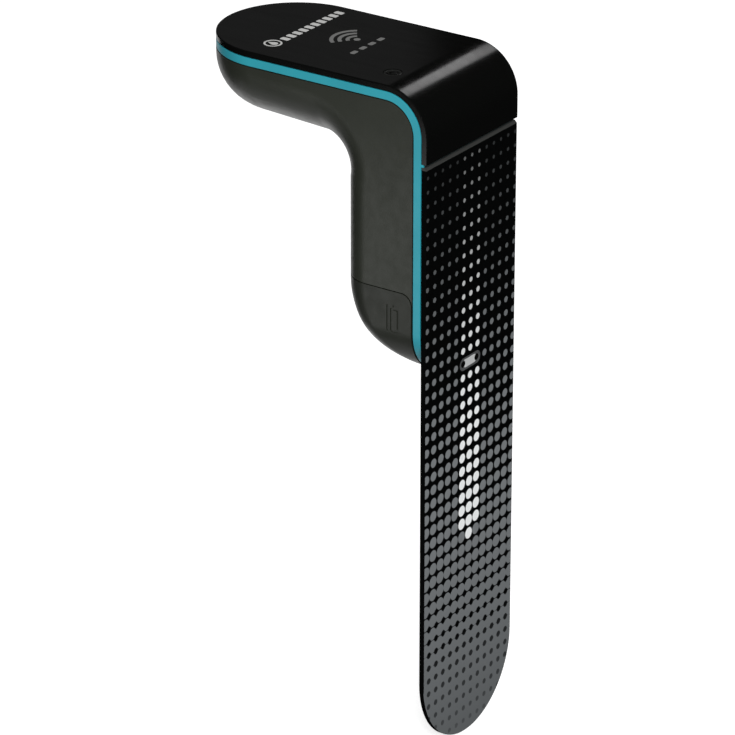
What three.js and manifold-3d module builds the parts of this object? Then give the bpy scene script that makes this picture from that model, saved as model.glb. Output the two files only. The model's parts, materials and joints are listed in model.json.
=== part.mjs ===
// Wireless soil moisture sensor: an L-shaped head on one flat measuring blade.
//
// Frame, in millimetres: X across the width, Y from the blade's front face (y = 0) towards the
// tongue's round nose, Z up. The origin is on the blade's front face and centreline, level with
// the lower end of the head, where the soil surface is when the sensor stands in the ground.

import * as THREE from 'three';
import { LoftGeometry } from 'three/addons/geometries/LoftGeometry.js';
import { mergeVertices } from 'three/addons/utils/BufferGeometryUtils.js';
import Module from 'manifold-3d';

const wasm = await Module();
wasm.setup();
const { Manifold, Mesh: ManifoldMesh } = wasm;

// Driving dimensions
const WIDTH = 46;
const HALF = WIDTH / 2;
const TOP = 87.4;                          // top face of the cover above the soil line
const COVER_FRONT = -0.25;                 // the cover stands a little proud of the blade
const COVER_THICK = 1.7;
const BEND = { y: 13.75, z: 73.4 };        // centre line of the bend that joins top and front
const NOSE_Y = 60.5;                       // axis of the tongue's round nose
const SEAM_Z = 66.4;                       // lower edge of the cover

const FRAME_FRONT = 1.9;                   // the frame plate's front and back faces, vertical part
const FRAME_BACK = 4.4;
const FRAME_TOP = 85.4;                    // and its upper and lower faces on the tongue
const FRAME_UNDER = 82.95;
const GAP = 0.3;                           // between pieces that touch

const BACK = 30.3;                         // straight back of the housing
const UNDERSIDE_NOSE = 65.3;               // the tongue's underside slopes a little to the elbow
const UNDERSIDE_ELBOW = 64.2;
const ELBOW_R = 8.5;                       // concave radius below the tongue
const TONGUE_FILLET = 16;
const BACK_FILLET = 9.75;
const BOWL_START = 25.1;                   // the back starts to curve forward here
const BOWL_AXIS_Y = 2;                     // centre of that quarter ellipse
const BOTTOM_CORNER = 14.5;                // corner radius of the lower end, seen from the front
const WALL = 2.2;

const CAP_TOP = 25.9;                      // seam between housing and battery cap
const CAP_FRONT = 5;
const CAP_CORNER = 3.5;
const CAP_WALL = 2;
const COLLAR_OUTER = 2.4;                  // insets of the collar that the cap pushes over
const COLLAR_INNER = 4.1;
const COLLAR_FRONT = 7.1;
const COLLAR_LOW = 20;
const LEDGE_TOP = 29.2;

const BLADE_TOP = 65.5;
const BLADE_THICK = 1.6;
const BLADE_STRAIGHT = -96;                // the straight sides end here
const BLADE_TIP = -120.5;
const PILL = { z: -0.9, length: 10.7, width: 4, depth: 1.2 };

const CELL = { x: 8, y: 16.4, r: 7.25, length: 50.5, nubR: 2.7, nub: 1 };
const LEFT_CELL_LOW = 17;                  // flat lower end of the left cell, its nub points up
const RIGHT_CELL_TOP = 63.9;               // flat upper end of the right cell, its nub points down
const CONTACT = { low: 67.8, thick: 0.4, size: 9, tab: 3 };
const BULKHEAD = { low: 68.5, high: 69.9, front: 7.4 };
const BRIDGE = { low: 12.6, high: 13.1, halfX: 12.5, front: 11.9, back: 20.9 };

const BOARD = { low: 76, high: 77.2, half: 13.8, front: 8 };
const BOARD_PARTS = BOARD.high + GAP;      // underside of what is mounted on the board
const BUTTON = { x: -13.6, y: 17.8, r: 1.6, stemR: 1.1, low: 80.2, high: 87.2 };
const LIGHT = { inner: 1.9, outer: 2.6, flange: 3.4, low: 80.4, high: 87.3 };
const SWITCH = { half: 2, high: 79.1, holeR: 1.1, plungerR: 0.8, plungerTop: 79.9 };
const HEADER = { half: 5, low: 56, high: 60, back: 5.6 };
const FLEX = { half: 4, y: 5.9, thick: 0.3, bendY: 8.7, bendZ: 75.6, low: 56.3, end: 9.7 };

const SCREW = { shankR: 1.2, headR: 2.6, headH: 1.2, holeR: 1.5, boreR: 2.9, bossR: 3.3, bore: 1.6 };
const SCREW_RING = 17.7;                   // the bosses' distance from the centreline
const TONGUE_SCREWS = [
  [-SCREW_RING, 34],
  [SCREW_RING, 34],
  [-15.8, 68.5],
  [15.8, 68.5],
];
const BACK_SCREWS_Z = 40;
const BOARD_SCREWS = [
  [-11, 36],
  [11, 36],
  [0, 69.5],
];
const BOARD_SCREW = { shankR: 0.9, headR: 1.7, headH: 1.2, holeR: 1.2, bossR: 2.2, low: 71 };

const FAR = 100;                           // reaches past every face of the object
const ARC = 7;                              // segments in each fillet of a section
const NOSE_SEGMENTS = 20;                  // segments in the nose's half circle

// ---------------------------------------------------------------- solids

function toSolid(geometry) {
  const bare = new THREE.BufferGeometry();
  bare.setAttribute('position', geometry.attributes.position);
  bare.setIndex(geometry.index);
  const merged = mergeVertices(bare, 1e-4);
  const index = Array.from(merged.index.array);
  const kept = [];
  for (let i = 0; i < index.length; i += 3) {
    const [a, b, c] = index.slice(i, i + 3);
    if (a !== b && b !== c && c !== a) {
      kept.push(a, b, c);
    }
  }
  const vertProperties = new Float32Array(merged.attributes.position.array);
  const triVerts = new Uint32Array(kept);
  return new Manifold(new ManifoldMesh({ numProp: 3, vertProperties, triVerts }));
}

function toGeometry(solid) {
  const mesh = solid.getMesh();
  const geometry = new THREE.BufferGeometry();
  geometry.setAttribute('position', new THREE.BufferAttribute(new Float32Array(mesh.vertProperties), 3));
  geometry.setIndex(new THREE.BufferAttribute(new Uint32Array(mesh.triVerts), 1));
  geometry.computeVertexNormals();
  return geometry;
}

function placed(geometry, xAxis, yAxis, zAxis, origin) {
  const matrix = new THREE.Matrix4().makeBasis(
    new THREE.Vector3(...xAxis), new THREE.Vector3(...yAxis), new THREE.Vector3(...zAxis));
  matrix.setPosition(...origin);
  return toSolid(geometry.applyMatrix4(matrix));
}

function extrude(shape, depth, curveSegments) {
  return new THREE.ExtrudeGeometry(shape, { depth, bevelEnabled: false, curveSegments });
}

// A shape drawn in (y, z), (x, z) or (x, y), extruded between two positions on the third axis.
function alongX(shape, low, high, curveSegments = 8) {
  return placed(extrude(shape, high - low, curveSegments), [0, 1, 0], [0, 0, 1], [1, 0, 0], [low, 0, 0]);
}

function alongY(shape, low, high, curveSegments = 8) {
  return placed(extrude(shape, high - low, curveSegments), [1, 0, 0], [0, 0, 1], [0, -1, 0], [0, high, 0]);
}

function alongZ(shape, low, high, curveSegments = 8) {
  return placed(extrude(shape, high - low, curveSegments), [1, 0, 0], [0, 1, 0], [0, 0, 1], [0, 0, low]);
}

function box(x0, x1, y0, y1, z0, z1) {
  const geometry = new THREE.BoxGeometry(x1 - x0, y1 - y0, z1 - z0);
  return toSolid(geometry.translate((x0 + x1) / 2, (y0 + y1) / 2, (z0 + z1) / 2));
}

function rodZ(x, y, radius, low, high, segments = 20) {
  const geometry = new THREE.CylinderGeometry(radius, radius, high - low, segments);
  geometry.rotateX(Math.PI / 2);
  return toSolid(geometry.translate(x, y, (low + high) / 2));
}

function rodY(x, z, radius, low, high, segments = 20) {
  const geometry = new THREE.CylinderGeometry(radius, radius, high - low, segments);
  return toSolid(geometry.translate(x, (low + high) / 2, z));
}

function union(solids) {
  return solids.reduce((all, solid) => all.add(solid));
}

function cut(solid, cutters) {
  return cutters.reduce((rest, cutter) => rest.subtract(cutter), solid);
}

// ---------------------------------------------------------------- outlines

// Everything behind and below a bent surface with its front at frontY and its top at topZ.
function behind(frontY, topZ, low = -FAR) {
  const shape = new THREE.Shape();
  shape.moveTo(frontY, low);
  shape.lineTo(FAR, low);
  shape.lineTo(FAR, topZ);
  shape.lineTo(BEND.y, topZ);
  shape.absellipse(BEND.y, BEND.z, BEND.y - frontY, topZ - BEND.z, Math.PI / 2, Math.PI, false);
  shape.lineTo(frontY, low);
  return alongX(shape, -FAR, FAR, 7);
}

// The bent layer between two such surfaces.
function layer(outerY, outerZ, innerY, innerZ, low = -FAR) {
  return behind(outerY, outerZ, low).subtract(behind(innerY, innerZ, low - 1));
}

// The head's outline, inset all round: the tongue's plan and the front view, cut together.
function outline(inset, bottom = 0, corner = BOTTOM_CORNER) {
  const half = HALF - inset;
  const plan = new THREE.Shape();
  plan.moveTo(-half, -FAR);
  plan.lineTo(half, -FAR);
  plan.lineTo(half, NOSE_Y);
  plan.absarc(0, NOSE_Y, half, 0, Math.PI, false);
  plan.lineTo(-half, -FAR);
  const radius = corner - inset;
  const front = new THREE.Shape();
  front.moveTo(half, FAR);
  front.lineTo(-half, FAR);
  front.lineTo(-half, bottom + corner);
  front.absarc(-half + radius, bottom + corner, radius, Math.PI, 1.5 * Math.PI, false);
  front.absarc(half - radius, bottom + corner, radius, 1.5 * Math.PI, 2 * Math.PI, false);
  front.lineTo(half, FAR);
  return alongZ(plan, -FAR, FAR, NOSE_SEGMENTS / 2).intersect(alongY(front, -FAR, FAR, 4));
}

// One cross-section of the housing: a half width, a depth from the rounded side, and its fillet.
// place turns (across, up from the rounded side) into a point.
function section(half, depth, fillet, place) {
  const points = [place(half, depth)];
  for (const side of [1, -1]) {
    for (let i = 0; i <= ARC; i += 1) {
      const turn = (side > 0 ? i : ARC - i) / ARC * Math.PI / 2;
      points.push(place(side * (half - fillet + fillet * Math.cos(turn)), fillet - fillet * Math.sin(turn)));
    }
  }
  points.push(place(-half, depth));
  return points;
}

// The solid inside the housing's outer surface, inset all round. It runs past the frame's faces.
function headBody(inset) {
  const half = HALF - inset;
  const sections = [];
  const frontY = -3;
  const topZ = TOP;
  const backFillet = BACK_FILLET - inset;
  const tongueFillet = TONGUE_FILLET - inset;
  const bowlSteps = 8;
  for (let i = bowlSteps; i >= 0; i -= 1) {
    const turn = i / bowlSteps * Math.PI / 2;
    const z = BOWL_START - (BOWL_START - inset) * Math.sin(turn);
    const back = BOWL_AXIS_Y + (BACK - BOWL_AXIS_Y - inset) * Math.cos(turn);
    const below = Math.max(BOTTOM_CORNER - z, 0);
    const radius = BOTTOM_CORNER - inset;
    const width = half - radius + Math.sqrt(Math.max(radius ** 2 - below ** 2, 0));
    const fillet = Math.min(backFillet, Math.max(back - FRAME_BACK, 0.5));
    sections.push(section(width, back - frontY, fillet, (x, up) => new THREE.Vector3(x, back - up, z)));
  }
  const centreY = BACK + ELBOW_R;
  const centreZ = UNDERSIDE_ELBOW - ELBOW_R;
  const elbowSteps = 7;
  for (let i = 0; i <= elbowSteps; i += 1) {
    const share = i / elbowSteps;
    const turn = share * Math.PI / 2;
    const sine = Math.sin(turn);
    const cosine = Math.cos(turn);
    const reach = Math.min(
      sine > 0 ? (topZ - centreZ) / sine : Infinity,
      cosine > 1e-6 ? (centreY - frontY) / cosine : Infinity);
    const start = ELBOW_R + inset;
    const place = (x, up) => new THREE.Vector3(
      x, centreY - (start + up) * cosine, centreZ + (start + up) * sine);
    const fillet = backFillet + (tongueFillet - backFillet) * share;
    sections.push(section(half, reach - start, fillet, place));
  }
  const noseZ = UNDERSIDE_NOSE + inset;
  sections.push(section(half, topZ - noseZ, tongueFillet,
    (x, up) => new THREE.Vector3(x, NOSE_Y, noseZ + up)));
  const body = toSolid(new LoftGeometry(sections, { capStart: true, capEnd: true }));

  const profile = [new THREE.Vector2(0, noseZ)];
  for (let i = 0; i <= ARC; i += 1) {
    const turn = i / ARC * Math.PI / 2;
    profile.push(new THREE.Vector2(
      half - tongueFillet + tongueFillet * Math.sin(turn),
      noseZ + tongueFillet - tongueFillet * Math.cos(turn)));
  }
  profile.push(new THREE.Vector2(half, topZ), new THREE.Vector2(0, topZ));
  const nose = new THREE.LatheGeometry(profile, 2 * NOSE_SEGMENTS);
  nose.rotateX(Math.PI / 2);
  nose.translate(0, NOSE_Y, 0);
  return body.add(toSolid(nose));
}

// The space below the cap's seam, which rounds over at the front.
function capSpace(frontY, topZ, corner) {
  const shape = new THREE.Shape();
  shape.moveTo(frontY, -FAR);
  shape.lineTo(FAR, -FAR);
  shape.lineTo(FAR, topZ);
  shape.lineTo(frontY + corner, topZ);
  shape.absarc(frontY + corner, topZ - corner, corner, Math.PI / 2, Math.PI, false);
  shape.lineTo(frontY, -FAR);
  return alongX(shape, -FAR, FAR, 3);
}

function slab(low, high) {
  return box(-FAR, FAR, -FAR, FAR, low, high);
}

function fromFront(frontY) {
  return box(-FAR, FAR, frontY, FAR, -FAR, FAR);
}

// A ring that follows the housing's surface between two insets, with a front wall of its own.
function collarRing(outer, inner, frontY, low, high) {
  const thick = inner - outer;
  const outside = headBody(outer).intersect(fromFront(frontY));
  const inside = headBody(inner).intersect(fromFront(frontY + thick));
  return outside.subtract(inside).intersect(slab(low, high));
}

// ---------------------------------------------------------------- head

function rearHousing() {
  const parting = behind(FRAME_BACK + GAP, FRAME_UNDER - GAP);
  const shell = headBody(0)
    .subtract(headBody(WALL))
    .subtract(capSpace(CAP_FRONT - GAP, CAP_TOP + GAP, CAP_CORNER));
  const inside = headBody(WALL / 2);
  const ledge = headBody(WALL / 2)
    .subtract(headBody(COLLAR_INNER).intersect(fromFront(COLLAR_FRONT + 1.7)))
    .intersect(slab(CAP_TOP + GAP, LEDGE_TOP));
  const collar = collarRing(COLLAR_OUTER, COLLAR_INNER, COLLAR_FRONT, COLLAR_LOW, LEDGE_TOP);
  const bulkhead = box(-FAR, FAR, BULKHEAD.front, 31, BULKHEAD.low, BULKHEAD.high).intersect(inside);
  const divider = box(-0.4, 0.4, 15, FAR, LEDGE_TOP - 1, 64).intersect(inside).intersect(
    box(-1, 1, 0, BACK - 1, 0, FAR));
  const adds = [shell, ledge, collar, bulkhead, divider];
  const cuts = [collarRing(COLLAR_OUTER - 1, COLLAR_OUTER + 1, COLLAR_FRONT - 1, 21.9, 23.9)];
  for (const [x, y] of TONGUE_SCREWS) {
    adds.push(rodZ(x, y, SCREW.bossR, 66, FRAME_UNDER - GAP).intersect(inside));
    cuts.push(rodZ(x, y, SCREW.holeR, 75, FAR));
  }
  for (const side of [-1, 1]) {
    adds.push(rodY(side * SCREW_RING, BACK_SCREWS_Z, SCREW.bossR, FRAME_BACK + GAP, 12).intersect(inside));
    cuts.push(rodY(side * SCREW_RING, BACK_SCREWS_Z, SCREW.holeR, 0, 11.4));
    cuts.push(tabSlot(side * CELL.x));
  }
  for (const [x, y] of BOARD_SCREWS) {
    adds.push(rodZ(x, y, BOARD_SCREW.bossR, 64, BOARD.low - GAP).intersect(inside));
    cuts.push(rodZ(x, y, BOARD_SCREW.holeR, BOARD_SCREW.low - 0.6, FAR));
  }
  return cut(union(adds).intersect(parting), cuts);
}

// The slot that a cell contact's tab passes through, on its way up to the board.
function tabSlot(x) {
  const half = CONTACT.tab / 2 + 0.5;
  const back = CELL.y + CONTACT.size / 2;
  const front = back - CONTACT.thick;
  return box(x - half, x + half, front - GAP, back + GAP, BULKHEAD.low - 1, BULKHEAD.high + 1);
}

function midFrame() {
  const plate = layer(FRAME_FRONT, FRAME_TOP, FRAME_BACK, FRAME_UNDER).intersect(outline(0));
  const groove = outline(1.2, CAP_TOP - 0.3, 4)
    .subtract(outline(2.8, CAP_TOP - 0.3, 4))
    .intersect(behind(FRAME_BACK - 0.9, FRAME_UNDER + 0.9));
  const cuts = [
    groove,
    box(-HEADER.half - 0.6, HEADER.half + 0.6, 0, 6, HEADER.low - 0.6, HEADER.high + 0.6),
    gasketRing(GAP, 0, 2.9),
    rodZ(BUTTON.x, BUTTON.y, LIGHT.outer + GAP, 80, FAR),
  ];
  for (const [x, y] of TONGUE_SCREWS) {
    cuts.push(rodZ(x, y, SCREW.holeR, 80, FAR));
    cuts.push(rodZ(x, y, SCREW.boreR, FRAME_TOP - SCREW.bore, FAR));
  }
  for (const side of [-1, 1]) {
    cuts.push(rodY(side * SCREW_RING, BACK_SCREWS_Z, SCREW.holeR, 0, 6));
    cuts.push(rodY(side * SCREW_RING, BACK_SCREWS_Z, SCREW.boreR, 0, FRAME_FRONT + SCREW.bore));
  }
  return cut(plate, cuts);
}

function topCover() {
  const shell = layer(COVER_FRONT, TOP, FRAME_FRONT - GAP, TOP - COVER_THICK, SEAM_Z).intersect(outline(0));
  return shell.subtract(rodZ(BUTTON.x, BUTTON.y, LIGHT.outer + GAP, 80, FAR));
}

function housingGasket() {
  return outline(1.5, CAP_TOP - 0.3, 4)
    .subtract(outline(2.5, CAP_TOP - 0.3, 4))
    .intersect(layer(FRAME_BACK - 0.6, FRAME_UNDER + 0.6, FRAME_BACK, FRAME_UNDER));
}

// ---------------------------------------------------------------- battery cap and cells

function batteryCap() {
  const outside = headBody(0).intersect(capSpace(CAP_FRONT, CAP_TOP, CAP_CORNER));
  const inside = headBody(CAP_WALL).intersect(fromFront(CAP_FRONT + CAP_WALL - 0.2));
  const ribs = [-1, 1].map((side) => box(
    side * CELL.x - 0.7, side * CELL.x + 0.7, CAP_FRONT + 1, BACK, 1, BRIDGE.low - GAP));
  return outside.subtract(inside).add(union(ribs).intersect(headBody(CAP_WALL / 2)));
}

function capSeal() {
  return collarRing(COLLAR_OUTER - 0.05, COLLAR_OUTER + 0.7, COLLAR_FRONT, 22.2, 23.6);
}

function batteryCell() {
  const { r, length, nubR, nub } = CELL;
  const can = length - nub;
  const profile = [
    [0, 0.4], [r - 2.4, 0.4], [r - 2, 0], [r - 0.5, 0], [r, 0.5], [r, can - 0.5], [r - 0.5, can],
    [nubR, can], [nubR, length], [0, length],
  ];
  const cell = new THREE.LatheGeometry(profile.map(([x, y]) => new THREE.Vector2(x, y)), 28);
  return cell.rotateX(Math.PI / 2);
}

function coil(x, y, low, high, radius, wire, turns) {
  class Helix extends THREE.Curve {
    getPoint(t) {
      const angle = 2 * Math.PI * turns * t;
      const rise = low + wire + (high - low - 2 * wire) * t;
      return new THREE.Vector3(x + radius * Math.cos(angle), y + radius * Math.sin(angle), rise);
    }
  }
  const ring = new THREE.Shape();
  ring.absarc(0, 0, wire, 0, 2 * Math.PI, false);
  const options = { steps: turns * 12, extrudePath: new Helix(), curveSegments: 3, bevelEnabled: false };
  return toSolid(new THREE.ExtrudeGeometry(ring, options));
}

function cellContact(x) {
  const half = CONTACT.size / 2;
  const back = CELL.y + half;
  const plate = box(x - half, x + half, CELL.y - half, back, CONTACT.low, CONTACT.low + CONTACT.thick);
  const tab = box(x - CONTACT.tab / 2, x + CONTACT.tab / 2, back - CONTACT.thick, back,
    CONTACT.low, BOARD.low - GAP);
  return plate.add(tab);
}

// ---------------------------------------------------------------- blade

function pill(length, width, z) {
  const radius = width / 2;
  const reach = length / 2 - radius;
  const shape = new THREE.Shape();
  shape.moveTo(-reach, z - radius);
  shape.lineTo(reach, z - radius);
  shape.absarc(reach, z, radius, -Math.PI / 2, Math.PI / 2, false);
  shape.lineTo(-reach, z + radius);
  shape.absarc(-reach, z, radius, Math.PI / 2, 1.5 * Math.PI, false);
  return shape;
}

function measuringBlade() {
  const shape = new THREE.Shape();
  shape.moveTo(HALF, BLADE_TOP);
  shape.lineTo(-HALF, BLADE_TOP);
  shape.lineTo(-HALF, BLADE_STRAIGHT);
  shape.absellipse(0, BLADE_STRAIGHT, HALF, BLADE_STRAIGHT - BLADE_TIP, Math.PI, 2 * Math.PI, false);
  shape.lineTo(HALF, BLADE_TOP);
  return alongY(shape, 0, BLADE_THICK, 16)
    .subtract(alongY(pill(PILL.length, PILL.width, PILL.z), -1, PILL.depth, 5));
}

function temperatureSensor() {
  const length = PILL.length - 2 * GAP;
  const width = PILL.width - 2 * GAP;
  return alongY(pill(length, width, PILL.z), 0.05, PILL.depth - GAP, 5);
}

function gasketRing(clearance, low, high) {
  const outer = HEADER.half + 3 + clearance;
  const inner = HEADER.half + 1.4 - clearance;
  const middle = (HEADER.low + HEADER.high) / 2;
  const tall = outer - 3;
  const ring = box(-outer, outer, low, high, middle - tall, middle + tall);
  return ring.subtract(box(-inner, inner, low - 1, high + 1, middle - inner + 3, middle + inner - 3));
}

function flexCable() {
  const { y, thick, bendY, bendZ, low, end } = FLEX;
  const outer = bendY - y;
  const shape = new THREE.Shape();
  shape.moveTo(y, low);
  shape.lineTo(y + thick, low);
  shape.lineTo(y + thick, bendZ);
  shape.absarc(bendY, bendZ, outer - thick, Math.PI, Math.PI / 2, true);
  shape.lineTo(end, bendZ + outer - thick);
  shape.lineTo(end, bendZ + outer);
  shape.lineTo(bendY, bendZ + outer);
  shape.absarc(bendY, bendZ, outer, Math.PI / 2, Math.PI, false);
  return alongX(shape, -FLEX.half, FLEX.half, 4);
}

// ---------------------------------------------------------------- board

function mainBoard() {
  const { half, front, low, high } = BOARD;
  const corner = 2;
  const shape = new THREE.Shape();
  shape.moveTo(-half + corner, front);
  shape.lineTo(half - corner, front);
  shape.absarc(half - corner, front + corner, corner, -Math.PI / 2, 0, false);
  shape.lineTo(half, NOSE_Y);
  shape.absarc(0, NOSE_Y, half, 0, Math.PI, false);
  shape.lineTo(-half, front + corner);
  shape.absarc(-half + corner, front + corner, corner, Math.PI, 1.5 * Math.PI, false);
  const lobe = box(BUTTON.x - 3.6, 0, BUTTON.y - 4, BUTTON.y + 4, low, high);
  const holes = BOARD_SCREWS.map(([x, y]) => rodZ(x, y, BOARD_SCREW.holeR, low - 1, high + 1));
  return cut(alongZ(shape, low, high, 6).add(lobe), holes);
}

function antenna() {
  const outer = 12;
  const inner = 11.4;
  const reach = 0.38 * Math.PI;
  const shape = new THREE.Shape();
  shape.absarc(0, NOSE_Y, outer, Math.PI / 2 - reach, Math.PI / 2 + reach, false);
  shape.absarc(0, NOSE_Y, inner, Math.PI / 2 + reach, Math.PI / 2 - reach, true);
  return alongZ(shape, BOARD_PARTS, BOARD_PARTS + 3.4, 6);
}

function radioShield() {
  const can = box(-8, 8, 46, 60, BOARD_PARTS, BOARD_PARTS + 2.4);
  return can.subtract(box(-7.6, 7.6, 46.4, 59.6, BOARD_PARTS - 1, BOARD_PARTS + 2));
}

function bufferCapacitor() {
  const radius = 2.5;
  return rodY(8, BOARD_PARTS + radius, radius, 15, 25, 18);
}

function tactileSwitch() {
  const { half, high, holeR } = SWITCH;
  const { x, y } = BUTTON;
  const body = box(x - half, x + half, y - half, y + half, BOARD_PARTS, high);
  return body.subtract(rodZ(x, y, holeR, BOARD_PARTS + 0.3, high + 1, 16));
}

function lightRing() {
  const { inner, outer, flange, low, high } = LIGHT;
  const profile = [
    [inner, low], [outer, low], [outer, low + 0.8], [flange, low + 0.8], [flange, low + 2],
    [outer, low + 2], [outer, high], [inner, high], [inner, low],
  ];
  const ring = new THREE.LatheGeometry(profile.map(([x, y]) => new THREE.Vector2(x, y)), 28);
  return toSolid(ring.rotateX(Math.PI / 2).translate(BUTTON.x, BUTTON.y, 0));
}

function powerButton() {
  const { x, y, r, stemR, low, high } = BUTTON;
  return rodZ(x, y, r, high - 2.4, high, 24).add(rodZ(x, y, stemR, low, high - 1, 16));
}

// ---------------------------------------------------------------- screws

function screwGeometry(shankR, headR, headH, length) {
  const profile = [
    [0, 0], [shankR, 0.6], [shankR, length], [headR, length], [headR, length + headH], [0.9, length + headH],
    [0.9, length + headH / 2], [0, length + headH / 2],
  ];
  const screw = new THREE.LatheGeometry(profile.map(([x, y]) => new THREE.Vector2(x, y)), 16);
  return screw.rotateX(Math.PI / 2);
}

// ---------------------------------------------------------------- materials and assembly

function material(color, roughness, metalness = 0) {
  return new THREE.MeshStandardMaterial({ color, roughness, metalness });
}

const FINISH = {
  gloss: () => material(0x0b0c0b, 0.22),
  frame: () => material(0x419dac, 0.45),
  housing: () => material(0x3d4039, 0.6),
  cap: () => material(0x383a34, 0.6),
  blade: () => material(0x0a0b0b, 0.35),
  rubber: () => material(0x1c1c1c, 0.85),
  steel: () => material(0xc0c2c4, 0.35, 1),
  board: () => material(0x1f5a3a, 0.5),
  chip: () => material(0x17181a, 0.45),
  cell: () => material(0x9aa0a4, 0.35, 0.6),
  light: () => material(0x5c6460, 0.3),
  film: () => material(0xb0702a, 0.4),
};

const sensor = new THREE.Group();
sensor.name = 'soil_moisture_sensor';

function put(name, finish, shape) {
  const geometry = shape.isBufferGeometry ? shape : toGeometry(shape);
  const mesh = new THREE.Mesh(geometry, FINISH[finish]());
  mesh.name = name;
  sensor.add(mesh);
  return mesh;
}

put('rear_housing', 'housing', rearHousing());
put('mid_frame', 'frame', midFrame());
put('top_cover', 'gloss', topCover());
put('housing_gasket', 'rubber', housingGasket());

put('measuring_blade', 'blade', measuringBlade());
put('temperature_sensor', 'steel', temperatureSensor());
put('blade_header', 'chip', box(-HEADER.half, HEADER.half, FRAME_FRONT, HEADER.back, HEADER.low, HEADER.high));
put('blade_gasket', 'rubber', gasketRing(0, FRAME_FRONT, 2.6));
put('flex_cable', 'film', flexCable());

put('battery_cap', 'cap', batteryCap());
put('cap_seal', 'rubber', capSeal());
put('cap_bridge_contact', 'steel',
  box(-BRIDGE.halfX, BRIDGE.halfX, BRIDGE.front, BRIDGE.back, BRIDGE.low, BRIDGE.high));
put('bridge_spring', 'steel', coil(-CELL.x, CELL.y, BRIDGE.high + GAP, LEFT_CELL_LOW - GAP, 3.4, 0.3, 3));

const leftCell = put('battery_cell_left', 'cell', batteryCell());
leftCell.position.set(-CELL.x, CELL.y, LEFT_CELL_LOW);
const rightCell = put('battery_cell_right', 'cell', batteryCell());
rightCell.position.set(CELL.x, CELL.y, RIGHT_CELL_TOP);
rightCell.rotation.x = Math.PI;
put('contact_positive', 'steel', cellContact(-CELL.x));
put('contact_negative', 'steel', cellContact(CELL.x));
put('contact_spring', 'steel', coil(CELL.x, CELL.y, RIGHT_CELL_TOP + GAP, CONTACT.low - GAP, 3.4, 0.3, 3));

put('main_board', 'board', mainBoard());
put('radio_shield', 'steel', radioShield());
put('antenna', 'steel', antenna());
put('microcontroller', 'chip', box(-4, 3, 30, 37, BOARD_PARTS, BOARD_PARTS + 0.9));
put('buffer_capacitor', 'chip', bufferCapacitor());
put('flex_connector', 'chip', box(-5, 5, 10, 14, BOARD_PARTS, BOARD_PARTS + 1.6));
put('tactile_switch', 'chip', tactileSwitch());
put('switch_plunger', 'chip',
  rodZ(BUTTON.x, BUTTON.y, SWITCH.plungerR, SWITCH.high - 0.7, SWITCH.plungerTop, 16));
put('status_led', 'light',
  box(BUTTON.x + 2.4, BUTTON.x + 3.6, BUTTON.y - 0.8, BUTTON.y + 0.8, BOARD_PARTS, BOARD_PARTS + 0.8));
put('light_ring', 'light', lightRing());
put('power_button', 'gloss', powerButton());

TONGUE_SCREWS.forEach(([x, y], i) => {
  const length = 8;
  const screw = put(`frame_screw_${i + 1}`, 'steel',
    screwGeometry(SCREW.shankR, SCREW.headR, SCREW.headH, length));
  screw.position.set(x, y, FRAME_TOP - SCREW.bore + GAP - length);
});
[-1, 1].forEach((side, i) => {
  const length = 7.6;
  const screw = put(`frame_screw_${i + 5}`, 'steel',
    screwGeometry(SCREW.shankR, SCREW.headR, SCREW.headH, length));
  screw.rotation.x = Math.PI / 2;
  screw.position.set(side * SCREW_RING, FRAME_FRONT + SCREW.bore - GAP + length, BACK_SCREWS_Z);
});
BOARD_SCREWS.forEach(([x, y], i) => {
  const { shankR, headR, headH, low } = BOARD_SCREW;
  const screw = put(`board_screw_${i + 1}`, 'steel', screwGeometry(shankR, headR, headH, BOARD_PARTS - low));
  screw.position.set(x, y, low);
});

export default sensor;
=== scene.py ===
"""Looks of a wireless soil moisture sensor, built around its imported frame.

Every piece is modelled in millimetres in the part's own frame (X across, Y towards the tongue's
nose, Z up, the soil line at 0) and scaled to metres when it is handed to its body.
"""

import json
import math

import bmesh
import bpy
from mathutils import Matrix, Vector


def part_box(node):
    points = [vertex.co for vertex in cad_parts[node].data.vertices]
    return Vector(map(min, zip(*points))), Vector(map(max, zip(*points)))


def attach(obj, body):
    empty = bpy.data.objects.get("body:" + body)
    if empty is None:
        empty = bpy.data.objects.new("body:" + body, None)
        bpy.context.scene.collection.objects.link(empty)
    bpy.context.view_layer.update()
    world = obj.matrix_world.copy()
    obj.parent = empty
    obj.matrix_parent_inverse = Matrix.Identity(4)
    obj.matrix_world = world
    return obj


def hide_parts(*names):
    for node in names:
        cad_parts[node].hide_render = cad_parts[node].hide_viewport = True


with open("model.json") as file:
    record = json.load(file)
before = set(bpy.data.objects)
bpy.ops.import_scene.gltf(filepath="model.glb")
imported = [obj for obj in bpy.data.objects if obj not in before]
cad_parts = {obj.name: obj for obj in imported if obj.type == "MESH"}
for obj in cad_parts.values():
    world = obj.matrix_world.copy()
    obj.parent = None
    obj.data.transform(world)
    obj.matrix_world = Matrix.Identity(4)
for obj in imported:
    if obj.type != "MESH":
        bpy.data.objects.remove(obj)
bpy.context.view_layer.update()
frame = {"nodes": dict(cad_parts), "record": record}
MM = 0.001


def box_mm(node):
    low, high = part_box(node)
    return low / MM, high / MM


# ---------------------------------------------------------------- sizes, in millimetres

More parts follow.
